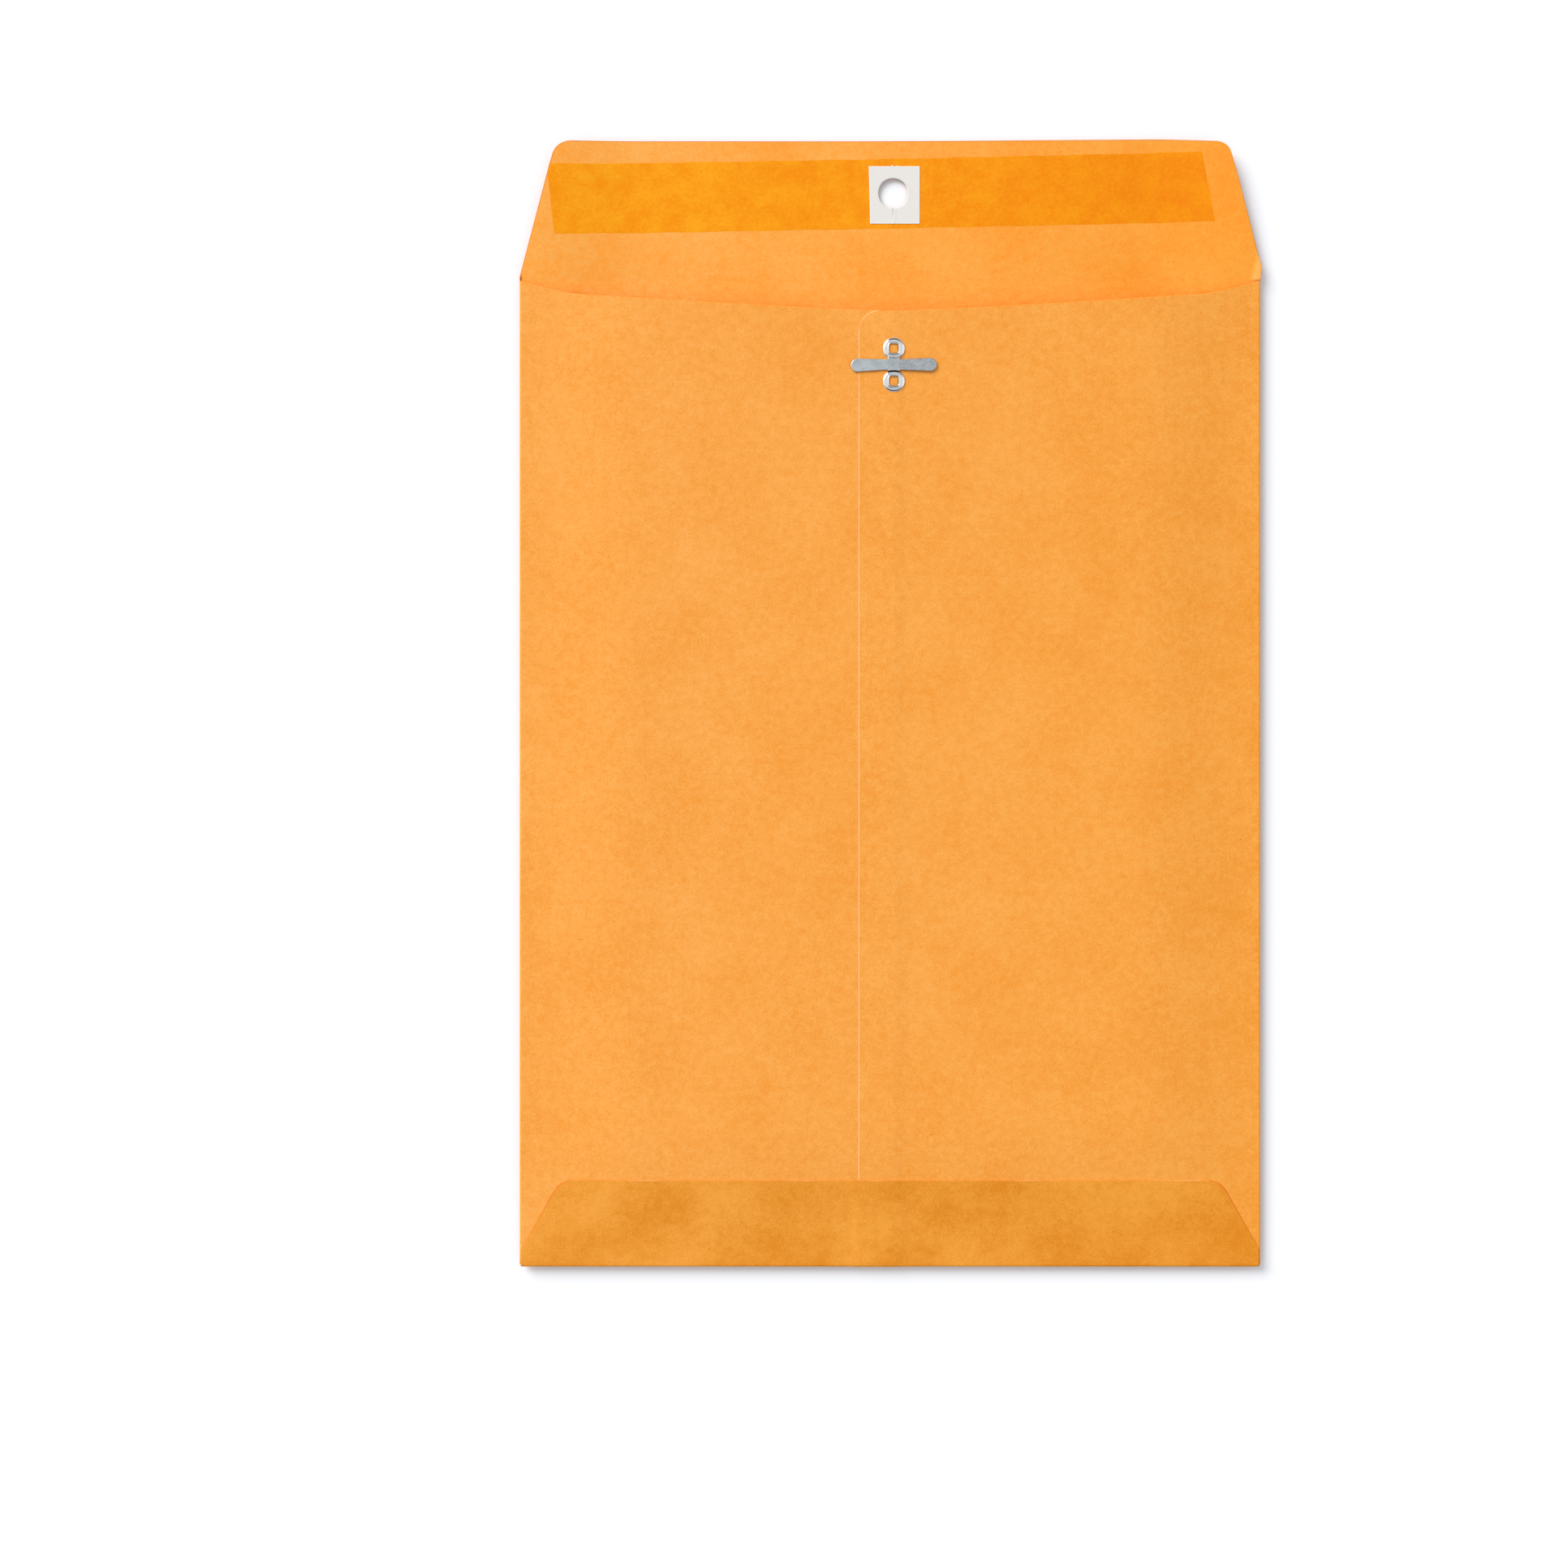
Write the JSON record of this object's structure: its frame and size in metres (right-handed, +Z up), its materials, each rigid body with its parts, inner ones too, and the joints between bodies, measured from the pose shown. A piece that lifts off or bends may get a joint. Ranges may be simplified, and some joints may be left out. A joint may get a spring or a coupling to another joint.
{
  "type": "clasp envelope",
  "caption": "Large kraft paper envelope with a centre seam, a gummed seal flap with a patched hole, and a two-winged metal clasp.",
  "frame": {"origin": "on the table, under the middle of the open envelope's box", "axes": "+Z up from the address face, +Y from the bottom fold to the open seal flap, +X to the right as seen from the clasp side"},
  "size_m": [0.2302, 0.348, 0.0062],
  "materials": {
    "kraft_paper": "matte",
    "dried_glue": "satin",
    "dried_gum": "satin",
    "patch_paper": "matte",
    "tin_plate": "satin"
  },
  "bodies": {
    "envelope": {"front_panel": "kraft_paper", "left_back_panel": "kraft_paper", "right_back_panel": "kraft_paper", "seam_glue": "dried_glue", "bottom_flap": "kraft_paper", "bottom_glue": "dried_glue", "clasp_plate": "tin_plate"},
    "flap": {"seal_flap": "kraft_paper", "flap_gum": "dried_gum", "flap_patch": "patch_paper"},
    "left_wing": {"clasp_left_wing": "tin_plate"},
    "right_wing": {"clasp_right_wing": "tin_plate"}
  },
  "joints": [
    {"name": "flap_fold", "type": "hinge", "parent": "envelope", "child": "flap", "pos_m": [0, 0.1308, 0.0035], "axis": [1, 0, 0], "range_deg": [0, 176.6]},
    {"name": "left_wing_bend", "type": "hinge", "parent": "envelope", "child": "left_wing", "pos_m": [-0.00102, 0.1039, 0.00605], "axis": [0, 1, 0], "range_deg": [0, 90]},
    {"name": "right_wing_bend", "type": "hinge", "parent": "envelope", "child": "right_wing", "pos_m": [0.00312, 0.1039, 0.00605], "axis": [0, -1, 0], "range_deg": [0, 90]}
  ]
}
